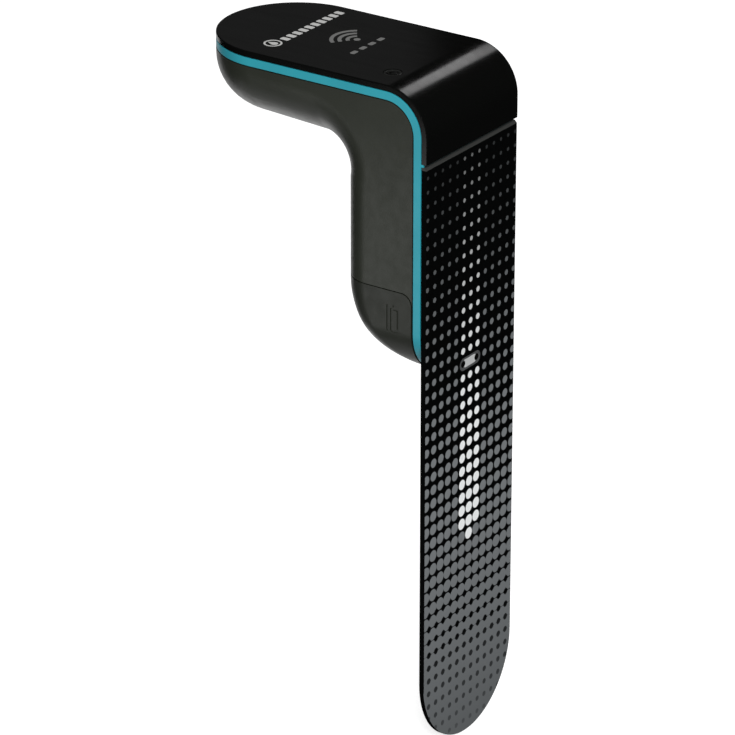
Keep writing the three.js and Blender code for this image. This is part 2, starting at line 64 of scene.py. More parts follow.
COVER_LOW, COVER_HIGH = box_mm("top_cover")
BAND_LOW, BAND_HIGH = box_mm("mid_frame")
CAP_LOW, CAP_HIGH = box_mm("battery_cap")
BLADE_LOW, BLADE_HIGH = box_mm("measuring_blade")
PILL_LOW, PILL_HIGH = box_mm("temperature_sensor")
RING_LOW, RING_HIGH = box_mm("light_ring")
BUTTON_LOW, BUTTON_HIGH = box_mm("power_button")
BRIDGE_LOW, BRIDGE_HIGH = box_mm("cap_bridge_contact")
LEFT_LOW, LEFT_HIGH = box_mm("battery_cell_left")
RIGHT_LOW, RIGHT_HIGH = box_mm("battery_cell_right")
PLATE_LOW, PLATE_HIGH = box_mm("contact_negative")

HALF = COVER_HIGH.x
TOP = COVER_HIGH.z
SEAM_Z = COVER_LOW.z
COVER_FRONT = COVER_LOW.y
COVER_THICK = 1.7
NOSE_Y = COVER_HIGH.y - HALF
BEND_Y = 13.75                     # centre line of the bend that joins top and front
BEND_Z = 73.4
BAND_FRONT = BAND_LOW.y
BAND_TOP = BAND_HIGH.z
BAND_BACK = 4.4
BAND_UNDER = 82.95
TAB_WIDTH = 0.8                    # small tab of the frame that shows beside the seam
TAB_FRONT = 1.1
GAP = 0.3

BACK = 30.3
UNDERSIDE_NOSE = 65.3
UNDERSIDE_ELBOW = 64.2
ELBOW_RADIUS = 8.5
TONGUE_FILLET = 16
BACK_FILLET = 9.75
BOWL_START = 25.1
BOWL_AXIS_Y = 2
BOTTOM_CORNER = 14.5
WALL = 2.2
CAP_TOP = CAP_HIGH.z
CAP_FRONT = CAP_LOW.y
CAP_CORNER = 3.5
CAP_WALL = 2
COLLAR_OUTER = 2.4
COLLAR_INNER = 4.1
COLLAR_FRONT = 7.1
COLLAR_LOW = 20
SEAL_LOW = 22.2
SEAL_HIGH = 23.6
LEDGE_TOP = 29.2
BULKHEAD_LOW = 68.5                # ceiling of the cell bays
BULKHEAD_HIGH = 69.9
BULKHEAD_BACK = 31
DIVIDER_TOP = 64                   # wall between the cell bays

BUTTON_AT = ((RING_LOW.x + RING_HIGH.x) / 2, (RING_LOW.y + RING_HIGH.y) / 2)
BUTTON_RADIUS = (BUTTON_HIGH.x - BUTTON_LOW.x) / 2
RING_RADIUS = 2.6
RING_BORE = 1.9
RING_HOLE = 2.9
ICON_DEPTH = 0.25                  # the cap's debossed bar and outline of a cell
CELL_MARK_AT = (10.6, 17.2)
INK_THICK = 0.03

BLADE_TOP = BLADE_HIGH.z
BLADE_BACK = BLADE_HIGH.y
BLADE_STRAIGHT = -96
BLADE_TIP = BLADE_LOW.z

FAR = 100
FILLET_STEPS = 14
BOWL_STEPS = 28
ELBOW_STEPS = 18
NOSE_STEPS = 48


# ---------------------------------------------------------------- mesh tools

def new_object(name, data):
    piece = bpy.data.objects.new(name, data)
    bpy.context.scene.collection.objects.link(piece)
    return piece


def weld(mesh):
    shape = bmesh.new()
    shape.from_mesh(mesh)
    bmesh.ops.remove_doubles(shape, verts=shape.verts, dist=1e-4)
    bmesh.ops.recalc_face_normals(shape, faces=shape.faces)
    shape.to_mesh(mesh)
    shape.free()


def mesh_object(name, points, faces):
    mesh = bpy.data.meshes.new(name)
    mesh.from_pydata(points, [], faces)
    weld(mesh)
    return new_object(name, mesh)


def bake(piece):
    """Applies a piece's modifiers, or turns a curve into a mesh."""
    graph = bpy.context.evaluated_depsgraph_get()
    mesh = bpy.data.meshes.new_from_object(piece.evaluated_get(graph))
    if piece.type == "MESH":
        piece.modifiers.clear()
        piece.data = mesh
        return piece
    name = piece.name
    bpy.data.objects.remove(piece)
    return new_object(name, mesh)


def combine(piece, tool, operation):
    modifier = piece.modifiers.new("combine", "BOOLEAN")
    modifier.solver = "MANIFOLD"
    modifier.operation = operation
    modifier.object = tool
    bake(piece)
    bpy.data.objects.remove(tool)
    return piece


def cut(piece, *tools):
    for tool in tools:
        combine(piece, tool, "DIFFERENCE")
    return piece


def join(piece, *others):
    for other in others:
        combine(piece, other, "UNION")
    return piece


def common(piece, *others):
    for other in others:
        combine(piece, other, "INTERSECT")
    return piece


def arc(centre, radii, start, end, steps):
    """Points of an elliptical arc, from one angle to another in degrees."""
    points = []
    for i in range(steps + 1):
        turn = math.radians(start + (end - start) * i / steps)
        points.append((centre[0] + radii[0] * math.cos(turn), centre[1] + radii[1] * math.sin(turn)))
    return points


AXES = {
    "x": lambda a, b, t: (t, a, b),
    "y": lambda a, b, t: (a, t, b),
    "z": lambda a, b, t: (a, b, t),
}


def prism(outline, axis, low, high):
    """An outline drawn in the other two axes, drawn out between two positions on this one."""
    place = AXES[axis]
    count = len(outline)
    points = [place(a, b, low) for a, b in outline] + [place(a, b, high) for a, b in outline]
    faces = [tuple(range(count)), tuple(range(2 * count - 1, count - 1, -1))]
    faces += [(i, (i + 1) % count, count + (i + 1) % count, count + i) for i in range(count)]
    return mesh_object("prism", points, faces)


def block(x0, x1, y0, y1, z0, z1):
    return prism([(x0, y0), (x1, y0), (x1, y1), (x0, y1)], "z", z0, z1)


def rod(axis, centre, radius, low, high, steps=40):
    return prism(arc(centre, (radius, radius), 0, 360 - 360 / steps, steps - 1), axis, low, high)


def lathe(name, profile, x, y, steps=64):
    """A closed profile of (radius, height), turned about a vertical axis."""
    points = []
    for i in range(steps):
        turn = 2 * math.pi * i / steps
        points += [(x + r * math.cos(turn), y + r * math.sin(turn), z) for r, z in profile]
    count = len(profile)
    faces = []
    for i in range(steps):
        here, there = i * count, (i + 1) % steps * count
        for j in range(count):
            k = (j + 1) % count
            if profile[j][0] > 0 or profile[k][0] > 0:
                faces.append((here + j, there + j, there + k, here + k))
    return mesh_object(name, points, faces)


def rounded(half_a, half_b, radius, centre=(0, 0), steps=8):
    """A rectangle with round corners, as an outline."""
    points = []
    for i, (a, b) in enumerate([(1, 1), (-1, 1), (-1, -1), (1, -1)]):
        corner = (centre[0] + a * (half_a - radius), centre[1] + b * (half_b - radius))
        points += arc(corner, (radius, radius), 90 * i, 90 * i + 90, steps)
    return points


def soften(piece, width, segments=2, near=None, angle=40):
    """Rounds the sharp edges whose middle passes the test."""
    shape = bmesh.new()
    shape.from_mesh(piece.data)
    bmesh.ops.dissolve_limit(
        shape, angle_limit=math.radians(0.2), verts=shape.verts, edges=shape.edges)
    chosen = []
    for edge in shape.edges:
        middle = (edge.verts[0].co + edge.verts[1].co) / 2
        sharp = len(edge.link_faces) == 2 and edge.calc_face_angle(0) > math.radians(angle)
        if sharp and (near is None or near(middle)):
            chosen.append(edge)
    bmesh.ops.bevel(
        shape, geom=chosen, offset=width, segments=segments, profile=0.5,
        affect="EDGES", clamp_overlap=True)
    shape.to_mesh(piece.data)
    shape.free()
    return piece


def hand_over(piece, name, body, finish, replaced=(), sharp=32):
    """Shades a piece, scales it to metres, gives it its material and body, and hides the CAD nodes it
    replaces.
    """
    piece.name = name
    piece.data.name = name
    shape = bmesh.new()
    shape.from_mesh(piece.data)
    for face in shape.faces:
        face.smooth = True
    for edge in shape.edges:
        edge.smooth = len(edge.link_faces) == 2 and edge.calc_face_angle(0) < math.radians(sharp)
    shape.to_mesh(piece.data)
    shape.free()
    weighted = piece.modifiers.new("weighted", "WEIGHTED_NORMAL")
    weighted.keep_sharp = True
    bake(piece)
    piece.data.transform(Matrix.Scale(MM, 4))
    piece.data.materials.clear()
    piece.data.materials.append(finish)
    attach(piece, body)
    if replaced:
        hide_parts(*replaced)
    return piece


# ---------------------------------------------------------------- material tools

class Finish:
    """A principled material and the few nodes that its patterns are made of."""

    def __init__(self, name, colour, roughness, metallic=0.0, specular=0.5):
        self.material = bpy.data.materials.new(name)
        self.material.use_nodes = True
        self.tree = self.material.node_tree
        self.shader = self.tree.nodes["Principled BSDF"]
        self.shader.inputs["Base Color"].default_value = (*colour, 1)
        self.shader.inputs["Roughness"].default_value = roughness
        self.shader.inputs["Metallic"].default_value = metallic
        self.shader.inputs["Specular IOR Level"].default_value = specular
        self.place = self.node("ShaderNodeTexCoord").outputs["Object"]

    def node(self, kind, **settings):
        node = self.tree.nodes.new(kind)
        for name, value in settings.items():
            setattr(node, name, value)
        return node

    def link(self, value, socket):
        if isinstance(value, bpy.types.NodeSocket):
            self.tree.links.new(value, socket)
        else:
            socket.default_value = value

    def math(self, operation, a, b=0.0, clamp=False):
        node = self.node("ShaderNodeMath", operation=operation, use_clamp=clamp)
        self.link(a, node.inputs[0])
        self.link(b, node.inputs[1])
        return node.outputs[0]

    def length(self, a, b):
        squares = self.math("ADD", self.math("POWER", a, 2.0), self.math("POWER", b, 2.0))
        return self.math("SQRT", squares)

    def noise(self, size, detail=3.0, stretch=(1, 1, 1)):
        """Noise with features about size millimetres across."""
        mapping = self.node("ShaderNodeMapping")
        mapping.inputs["Scale"].default_value = [s / (size * MM) for s in stretch]
        self.link(self.place, mapping.inputs["Vector"])
        node = self.node("ShaderNodeTexNoise")
        node.inputs["Scale"].default_value = 1.0
        node.inputs["Detail"].default_value = detail
        self.link(mapping.outputs[0], node.inputs["Vector"])
        return node.outputs["Fac"]

    def ramp(self, value, *stops):
        node = self.node("ShaderNodeValToRGB")
        elements = node.color_ramp.elements
        while len(elements) < len(stops):
            elements.new(1.0)
        for element, (position, level) in zip(elements, stops):
            element.position = position
            element.color = (*level, 1) if isinstance(level, tuple) else (level, level, level, 1)
        self.link(value, node.inputs[0])
        return node.outputs[0]

    def mix(self, share, a, b):
        node = self.node("ShaderNodeMix", data_type="RGBA")
        self.link(share, node.inputs["Factor"])
        for value, socket in ((a, node.inputs[6]), (b, node.inputs[7])):
            self.link((*value, 1) if isinstance(value, tuple) else value, socket)
        return node.outputs[2]

    def spread(self, value, low, high):
        node = self.node("ShaderNodeMapRange")
        self.link(value, node.inputs["Value"])
        node.inputs["From Min"].default_value = 0.3
        node.inputs["From Max"].default_value = 0.7
        node.inputs["To Min"].default_value = low
        node.inputs["To Max"].default_value = high
        return node.outputs[0]

    def bump(self, height, depth):
        """Relief of about depth millimetres."""
        node = self.node("ShaderNodeBump")
        node.inputs["Distance"].default_value = depth * MM
        node.inputs["Strength"].default_value = 1.0
        self.link(height, node.inputs["Height"])
        self.tree.links.new(node.outputs[0], self.shader.inputs["Normal"])

    def base(self, value):
        self.link(value, self.shader.inputs["Base Color"])

    def rough(self, value):
        self.link(value, self.shader.inputs["Roughness"])

    def coordinates(self):
        """X, Y and Z of the point in millimetres."""
        node = self.node("ShaderNodeSeparateXYZ")
        self.link(self.place, node.inputs[0])
        return [self.math("DIVIDE", output, MM) for output in node.outputs]


def shade(colour, factor):
    return tuple(c * factor for c in colour)


def moulded_plastic(name, colour, roughness, grain=0.012, grain_size=0.35):
    """Plastic from a textured tool: a fine even grain and very slight clouding."""
    finish = Finish(name, colour, roughness)
    cloud = finish.spread(finish.noise(14, 2), 0, 1)
    finish.base(finish.mix(cloud, shade(colour, 0.95), shade(colour, 1.05)))
    finish.rough(finish.spread(finish.noise(3), roughness - 0.04, roughness + 0.04))
    finish.bump(finish.noise(grain_size, 2), grain)
    return finish.material


def polished_plastic(name, colour, roughness):
    """Polished plastic with faint wipe marks and a slow wave in its surface."""
    finish = Finish(name, colour, roughness)
    wipes = finish.noise(2.5, 4, (1, 0.12, 1))
    finish.rough(finish.spread(wipes, roughness * 0.85, roughness * 1.2))
    specks = finish.ramp(finish.noise(0.5, 1), (0.74, 0.0), (0.8, 1.0))
    finish.base(finish.mix(specks, colour, shade(colour, 1.8)))
    finish.bump(finish.noise(9, 1), 0.004)
    return finish.material


def rubber(name, colour):
    finish = Finish(name, colour, 0.8)
    finish.base(finish.mix(finish.noise(2), colour, shade(colour, 1.3)))
    finish.bump(finish.noise(0.25), 0.02)
    return finish.material


METAL_SHARE = 0.6                  # below 1, so that metals aren't black in unlit corners


def metal(name, colour, roughness, stretch=(1, 1, 1)):
    """Metal with rolling or drawing marks along the stretched axis."""
    finish = Finish(name, colour, roughness, METAL_SHARE)
    marks = finish.noise(0.4, 4, stretch)
    finish.rough(finish.spread(marks, roughness * 0.75, roughness * 1.3))
    finish.base(finish.mix(finish.noise(3), shade(colour, 0.9), colour))
    finish.bump(marks, 0.002)
    return finish.material


# ---------------------------------------------------------------- materials

PITCH_X = 3.69                     # lattice of the printed dots
PITCH_Z = 4.22
FIRST_ROW_Z = 62.42
ROWS = 44
PILL_ROW = 15
WHITE_ROWS = 28                    # rows whose three middle dots are white
INK_GREY = (0.195, 0.208, 0.215)
INK_WHITE = (0.88, 0.9, 0.9)
MASK_BLACK = (0.0022, 0.0024, 0.0024)
LAMINATE_GREY = (0.036, 0.037, 0.035)
CHAMFER = 0.8                      # along the blade's top edge, where bare laminate shows
DOT_GROWTH = (                     # share of the way down the rows, dot's radius over the largest
    (0.0, 0.20),
    (0.2, 0.27),
    (0.35, 0.37),
    (0.5, 0.49),
    (0.65, 0.60),
    (0.75, 0.65),
    (0.84, 0.72),
    (0.93, 0.79),
    (1.0, 0.84),
)
LARGEST_DOT = 3.0
GAP_SIZE = ((0.5, 0.33), (0.84, 0.32), (1.0, 0.24))  # round gaps left between the largest dots
DOT_FADE = ((0.0, 0.14), (0.12, 0.36), (0.3, 0.8), (0.45, 1.0))
TIP_SHADE = ((0.6, 1.0), (0.84, 0.8), (1.0, 0.62))
# painted light: towards the tip the black between the dots is lightened to grey, a haze of light painted
# into the colour
TIP_PAINTED_LIGHT = ((0.82, 0.0), (0.95, 0.35), (1.0, 0.7))
PRINT_MARGIN = 0.2
FACE_DEPTH = 0.1                   # what lies this close to a face counts as that face
DOT_SHARPNESS = 10.0               # ink per millimetre inside a dot's edge
SHEEN = 0.25                       # specular level of the faces; the cut edges are matt


def blade_print():
    """Black blade with a halftone: dots that grow downwards until only small gaps are left."""
    finish = Finish("blade_print", MASK_BLACK, 0.34)
    x, y, z = finish.coordinates()
    column = finish.math("ROUND", finish.math("DIVIDE", x, PITCH_X))
    depth = finish.math("DIVIDE", finish.math("SUBTRACT", FIRST_ROW_Z, z), PITCH_Z)
    row = finish.math("ROUND", depth)
    share = finish.math("DIVIDE", depth, ROWS - 1)
    off_x = finish.math("SUBTRACT", x, finish.math("MULTIPLY", column, PITCH_X))
    off_z = finish.math("MULTIPLY", finish.math("SUBTRACT", depth, row), PITCH_Z)
    across = finish.math("ABSOLUTE", off_x)
    along = finish.math("ABSOLUTE", off_z)
    radius = finish.math("MULTIPLY", finish.ramp(share, *DOT_GROWTH), LARGEST_DOT)
    gap_radius = finish.math("MULTIPLY", finish.ramp(share, *GAP_SIZE), LARGEST_DOT)
    from_dot = finish.length(across, along)
    from_gap = finish.length(finish.math("SUBTRACT", PITCH_X / 2, across),
                             finish.math("SUBTRACT", PITCH_Z / 2, along))
    inside = finish.math("MINIMUM", finish.math("SUBTRACT", radius, from_dot),
                         finish.math("SUBTRACT", from_gap, gap_radius))
    ragged = finish.math("MULTIPLY", finish.math("SUBTRACT", finish.noise(0.3, 2), 0.5), 0.12)
    dot = finish.math("MULTIPLY", finish.math("ADD", inside, ragged), DOT_SHARPNESS, clamp=True)
    off_centre = finish.math("ABSOLUTE", column)
    in_margins = finish.math("LESS_THAN", finish.math("ABSOLUTE", x), HALF - PRINT_MARGIN)
    on_front = finish.math("MULTIPLY", in_margins, finish.math("LESS_THAN", y, FACE_DEPTH))
    printed = finish.math("MULTIPLY", finish.math("GREATER_THAN", row, -0.5), on_front)
    from_pill = finish.math("ABSOLUTE", finish.math("SUBTRACT", row, PILL_ROW))
    clear = finish.math("MULTIPLY", finish.math("LESS_THAN", from_pill, 0.5),
                        finish.math("LESS_THAN", off_centre, 1.5))
    allowed = finish.math("MULTIPLY", printed, finish.math("SUBTRACT", 1.0, clear))
    dot = finish.math("MULTIPLY", dot, allowed)
    three_wide = finish.math("MULTIPLY", finish.math("LESS_THAN", off_centre, 1.5),
                             finish.math("LESS_THAN", row, WHITE_ROWS - 0.5))
    last_one = finish.math("MULTIPLY", finish.math("LESS_THAN", off_centre, 0.5),
                           finish.math("LESS_THAN", row, WHITE_ROWS + 0.5))
    white = finish.math("MAXIMUM", three_wide, last_one)
    fade = finish.ramp(share, *DOT_FADE)
    grey = finish.mix(finish.ramp(share, *TIP_SHADE), (0.0, 0.0, 0.0), INK_GREY)
    ink = finish.mix(white, grey, INK_WHITE)
    mottled = finish.mix(finish.noise(1.2), shade(MASK_BLACK, 0.7), shade(MASK_BLACK, 1.3))
    # painted light: on the front the black mask fades to grey towards the tip
    painted_tip_light = finish.math("MULTIPLY", finish.ramp(share, *TIP_PAINTED_LIGHT), on_front)
    masked = finish.mix(finish.math("MULTIPLY", dot, fade), finish.mix(painted_tip_light, mottled, grey), ink)
    bare = finish.math("GREATER_THAN", z, BLADE_TOP - CHAMFER + 0.02)
    finish.base(finish.mix(bare, masked, LAMINATE_GREY))
    on_back = finish.math("GREATER_THAN", y, BLADE_BACK - FACE_DEPTH)
    face = finish.math("MAXIMUM", finish.math("MAXIMUM", on_front, bare), on_back)
    finish.link(finish.math("MULTIPLY", face, SHEEN), finish.shader.inputs["Specular IOR Level"])
    finish.rough(finish.math("ADD", finish.spread(finish.noise(0.6), 0.3, 0.38),
                             finish.math("MULTIPLY", dot, 0.12)))
    relief = finish.math("ADD", dot, finish.math("MULTIPLY", finish.noise(0.5, 2), 0.4))
    finish.bump(relief, 0.012)
    return finish.material


CELL_CAN_END = 2.2                 # bare steel at a cell's raised end, and at its flat end
CELL_FLAT_END = 1.2
CELL_BAND_START = 32


def cell_wrap():
    """Printed sleeve of a battery cell: bare steel ends, a pale sleeve and a green band."""
    finish = Finish("cell_wrap", (0.6, 0.62, 0.62), 0.35)
    height = finish.coordinates()[2]
    top = finish.math("GREATER_THAN", height, LEFT_HIGH.z - CELL_CAN_END)
    low = finish.math("LESS_THAN", height, LEFT_LOW.z + CELL_FLAT_END)
    end = finish.math("MAXIMUM", top, low)
    above_sleeve = finish.math("GREATER_THAN", height, LEFT_LOW.z + CELL_BAND_START)
    below_can = finish.math("LESS_THAN", height, LEFT_HIGH.z - CELL_CAN_END)
    band = finish.math("MULTIPLY", above_sleeve, below_can)
    sleeve = finish.mix(band, (0.66, 0.68, 0.68), (0.03, 0.16, 0.08))
    finish.base(finish.mix(end, sleeve, (0.75, 0.74, 0.72)))
    finish.link(finish.math("MULTIPLY", end, 0.95), finish.shader.inputs["Metallic"])
    finish.rough(finish.spread(finish.noise(0.5, 3), 0.25, 0.4))
    finish.bump(finish.noise(4, 1), 0.01)
    return finish.material


def circuit_board():
    """Green solder mask over copper tracks that show as a faint relief."""
    finish = Finish("circuit_board", (0.012, 0.09, 0.035), 0.4)
    x, y, _ = finish.coordinates()
    step = finish.math("MULTIPLY", finish.math("ROUND", finish.math("DIVIDE", y, 6.0)), 0.8)
    tracks = finish.math("SINE", finish.math("MULTIPLY", finish.math("ADD", x, step), 5.0))
    copper = finish.math("GREATER_THAN", tracks, 0.3)
    finish.base(finish.mix(copper, (0.008, 0.06, 0.025), (0.018, 0.13, 0.05)))
    finish.bump(copper, 0.03)
    return finish.material


def polyimide():
    finish = Finish("polyimide", (0.35, 0.12, 0.02), 0.35)
    x = finish.coordinates()[0]
    lines = finish.math("GREATER_THAN", finish.math("SINE", finish.math("MULTIPLY", x, 6.28)), 0.0)
    finish.base(finish.mix(lines, (0.42, 0.15, 0.02), (0.22, 0.07, 0.015)))
    finish.bump(lines, 0.02)
    return finish.material


def printed_ink(name, level):
    """Screen-printed ink, a little thin in places."""
    colour = (level, level, level * 0.98)
    finish = Finish(name, colour, 0.5)
    finish.base(finish.mix(finish.noise(0.5, 2), shade(colour, 0.82), colour))
    finish.bump(finish.noise(0.15, 2), 0.006)
    return finish.material


HOUSING_COLOUR = (0.0245, 0.0275, 0.0205)
CAP_COLOUR = (0.0185, 0.0207, 0.0155)
TEAL_COLOUR = (0.024, 0.315, 0.39)

FINISHES = {
    "housing": moulded_plastic("housing_plastic", HOUSING_COLOUR, 0.34),
    "cap": moulded_plastic("cap_plastic", CAP_COLOUR, 0.36),
    "frame_teal": moulded_plastic("teal_plastic", TEAL_COLOUR, 0.36, 0.006, 0.5),
    "cover_gloss": polished_plastic("polished_black", (0.0030, 0.0032, 0.0030), 0.19),
    "blade": blade_print(),
    "rubber": rubber("black_rubber", (0.012, 0.012, 0.012)),
    "contact_steel": metal("nickel", (0.62, 0.60, 0.55), 0.3),
    "screw_steel": metal("zinc_steel", (0.55, 0.55, 0.54), 0.35),
    "sensor_steel": metal("satin_steel", (0.62, 0.63, 0.64), 0.4, (0.2, 1, 1)),
    "black_plastic": moulded_plastic("component_black", (0.012, 0.012, 0.013), 0.45, 0.01, 0.25),
    "cell": cell_wrap(),
    "board": circuit_board(),
    "flex_film": polyimide(),
    "light": moulded_plastic("light_guide", (0.014, 0.0145, 0.014), 0.3, 0.003),
}
WHITE_INK = printed_ink("white_ink", 0.62)
GREY_INK = printed_ink("grey_ink", 0.2)
BEZEL_GREY = moulded_plastic("bezel_grey", (0.085, 0.088, 0.09), 0.45, 0.004)
PAD_SATIN = moulded_plastic("pad_satin", (0.52, 0.53, 0.53), 0.4, 0.004)


# ---------------------------------------------------------------- shapes shared by the pieces

def behind(front_y, top_z, low=-FAR):
    """Everything behind and below a bent surface."""
    outline = [(front_y, low), (FAR, low), (FAR, top_z)]
    outline += arc((BEND_Y, BEND_Z), (BEND_Y - front_y, top_z - BEND_Z), 90, 180, 36)
    return prism(outline, "x", -FAR, FAR)


def layer(outer_y, outer_z, inner_y, inner_z, low=-FAR):
    return cut(behind(outer_y, outer_z, low), behind(inner_y, inner_z, low - 1))


def outline_body(inset, bottom=0, corner=BOTTOM_CORNER):
    """The head's outline, inset all round: the tongue's plan and the front view cut together."""
    half = HALF - inset
    plan = [(-half, -FAR), (half, -FAR)] + arc((0, NOSE_Y), (half, half), 0, 180, NOSE_STEPS)
    radius = corner - inset
    middle = bottom + corner
    front = [(half, FAR), (-half, FAR)]
    front += arc((-half + radius, middle), (radius, radius), 180, 270, 16)
    front += arc((half - radius, middle), (radius, radius), 270, 360, 16)
    return common(prism(plan, "z", -FAR, FAR), prism(front, "y", -FAR, FAR))


def section(half, depth, fillet, place):
    """A cross-section of the head, from one rim round its two fillets to the other rim."""
    right = [(half, depth)]
    right += [(half - fillet + fillet * math.cos(math.radians(90 * i / FILLET_STEPS)),
               fillet - fillet * math.sin(math.radians(90 * i / FILLET_STEPS)))
              for i in range(FILLET_STEPS + 1)]
    left = [(-x, up) for x, up in reversed(right)]
    return [place(x, up) for x, up in right + [(0, 0)] + left]


def head_body(inset):
    """The solid inside the head's outer surface, inset all round. It runs past the frame's faces."""
    half = HALF - inset
    front_y = -3
    back_fillet = BACK_FILLET - inset
    tongue_fillet = TONGUE_FILLET - inset
    rings = []
    for i in range(BOWL_STEPS, -1, -1):
        turn = math.radians(90 * i / BOWL_STEPS)
        z = BOWL_START - (BOWL_START - inset) * math.sin(turn)
        back = BOWL_AXIS_Y + (BACK - BOWL_AXIS_Y - inset) * math.cos(turn)
        below = max(BOTTOM_CORNER - z, 0)
        radius = BOTTOM_CORNER - inset
        width = half - radius + math.sqrt(max(radius ** 2 - below ** 2, 0))
        fillet = min(back_fillet, max(back - BAND_BACK, 0.5))
        rings.append(section(width, back - front_y, fillet, lambda x, up: (x, back - up, z)))
    centre_y = BACK + ELBOW_RADIUS
    centre_z = UNDERSIDE_ELBOW - ELBOW_RADIUS
    start = ELBOW_RADIUS + inset
    for i in range(ELBOW_STEPS + 1):
        share = i / ELBOW_STEPS
        sine = math.sin(math.radians(90 * share))
        cosine = math.cos(math.radians(90 * share))
        up_to_top = (TOP - centre_z) / sine if sine > 1e-6 else math.inf
        up_to_front = (centre_y - front_y) / cosine if cosine > 1e-6 else math.inf
        fillet = back_fillet + (tongue_fillet - back_fillet) * share
        rings.append(section(
            half, min(up_to_top, up_to_front) - start, fillet,
            lambda x, up: (x, centre_y - (start + up) * cosine, centre_z + (start + up) * sine)))
    nose_z = UNDERSIDE_NOSE + inset
    rings.append(section(half, TOP - nose_z, tongue_fillet, lambda x, up: (x, NOSE_Y, nose_z + up)))

    count = len(rings[0])
    points = [point for ring in rings for point in ring]
    faces = [tuple(range(count))]
    for i in range(len(rings) - 1):
        for j in range(count):
            k = (j + 1) % count
            faces.append((i * count + j, i * count + k, (i + 1) * count + k, (i + 1) * count + j))
    side = [(x, z) for x, _, z in rings[-1][:count // 2 + 1]]
    first = len(points)
    for i in range(NOSE_STEPS + 1):
        turn = math.pi * i / NOSE_STEPS
        points += [(r * math.cos(turn), NOSE_Y + r * math.sin(turn), z) for r, z in side]
    for i in range(NOSE_STEPS):
        for j in range(len(side) - 1):
            a = first + i * len(side) + j
            b = a + len(side)
            faces.append((a, b, b + 1, a + 1))
    faces.append(tuple(first + i * len(side) for i in range(NOSE_STEPS + 1)))
    return mesh_object("head", points, faces)


def cap_space(front_y, top_z, corner):
    """The space below the cap's seam, which rounds over at the front."""
    outline = [(front_y, -FAR), (FAR, -FAR), (FAR, top_z)]
    outline += arc((front_y + corner, top_z - corner), (corner, corner), 90, 180, 14)
    return prism(outline, "x", -FAR, FAR)


def slab(low, high):
    return block(-FAR, FAR, -FAR, FAR, low, high)


def from_front(front_y):
    return block(-FAR, FAR, front_y, FAR, -FAR, FAR)


def collar_ring(outer, inner, front_y, low, high):
    """A ring that follows the head's surface between two insets, with a front wall of its own."""
    outside = common(head_body(outer), from_front(front_y))
    inside = common(head_body(inner), from_front(front_y + inner - outer))
    return common(cut(outside, inside), slab(low, high))


# ---------------------------------------------------------------- head pieces

def rear_housing():
    shell = cut(head_body(0), head_body(WALL), cap_space(CAP_FRONT - GAP, CAP_TOP + GAP, CAP_CORNER))
    bay = common(head_body(COLLAR_INNER), from_front(COLLAR_FRONT + COLLAR_INNER - COLLAR_OUTER))
    ledge = common(cut(head_body(WALL / 2), bay), slab(CAP_TOP + GAP, LEDGE_TOP))
    collar = collar_ring(COLLAR_OUTER, COLLAR_INNER, COLLAR_FRONT, COLLAR_LOW, LEDGE_TOP)
    groove = collar_ring(COLLAR_OUTER - 1, COLLAR_OUTER + 1, COLLAR_FRONT - 1,
                         SEAL_LOW - GAP, SEAL_HIGH + GAP)
    ceiling = block(-FAR, FAR, COLLAR_FRONT + GAP, BULKHEAD_BACK, BULKHEAD_LOW, BULKHEAD_HIGH)
    bulkhead = common(ceiling, head_body(WALL / 2))
    wall = block(-0.4, 0.4, 15, BACK - 1, LEDGE_TOP - 1, DIVIDER_TOP)
    divider = common(wall, head_body(WALL / 2))
    housing = cut(join(shell, ledge, collar, bulkhead, divider), groove)
    for side in (-1, 1):
        tab_x = side * (PLATE_LOW.x + PLATE_HIGH.x) / 2
        cut(housing, block(tab_x - 2, tab_x + 2, PLATE_HIGH.y - 0.7, PLATE_HIGH.y + GAP,
                           BULKHEAD_LOW - 1, BULKHEAD_HIGH + 1))
    common(housing, behind(BAND_BACK + GAP, BAND_UNDER - GAP))
    soften(housing, 0.28, near=on_rim)
    return hand_over(housing, "housing_shell", "head", FINISHES["housing"], ["rear_housing"])


def on_rim(point):
    """True on the outer edges: along the frame, the cap's seam and the collar's lower lip."""
    at_side = abs(point.x) > HALF - 0.01
    beyond = point.y - NOSE_Y
    at_nose = beyond > 0 and math.hypot(point.x, beyond) > HALF - 0.05
    at_seam = CAP_TOP < point.z < CAP_TOP + 0.5 and point.y > CAP_FRONT
    at_lip = abs(point.z - COLLAR_LOW) < 0.01
    return at_side or at_nose or at_seam or at_lip


def cad_copy(node):
    """A node's own solid in millimetres, to cut with."""
    source = frame["nodes"][node]
    copy = new_object("tool", source.data.copy())
    copy.data.transform(Matrix.Scale(1 / MM, 4) @ source.matrix_world)
    weld(copy.data)
    return copy


def frame_band():
    """The teal plate between cover and housing; its edge is the band that shows all round."""
    plate = common(layer(BAND_FRONT, BAND_TOP, BAND_BACK, BAND_UNDER), outline_body(0))
    soften(plate, 0.18)
    cut(plate, rod("z", BUTTON_AT, RING_HOLE, BEND_Z, FAR))
    join(plate, block(-HALF + 0.05, -HALF + TAB_WIDTH, TAB_FRONT, BAND_FRONT + 0.3,
                      BLADE_TOP + 0.06, SEAM_Z - 0.06))
    for node in ["blade_header", "housing_gasket"] + [f"frame_screw_{n}" for n in range(1, 7)]:
        cut(plate, cad_copy(node))
    return hand_over(plate, "frame_band", "head", FINISHES["frame_teal"], ["mid_frame"])


def top_cover():
    shell = layer(COVER_FRONT, TOP, BAND_FRONT - GAP, TOP - COVER_THICK, SEAM_Z)
    common(shell, outline_body(0))
    soften(shell, 0.35, segments=3, near=on_cover_edge)
    cut(shell, rod("z", BUTTON_AT, RING_RADIUS + 0.15, BEND_Z, FAR))
    return hand_over(shell, "cover_shell", "head", FINISHES["cover_gloss"], ["top_cover"])


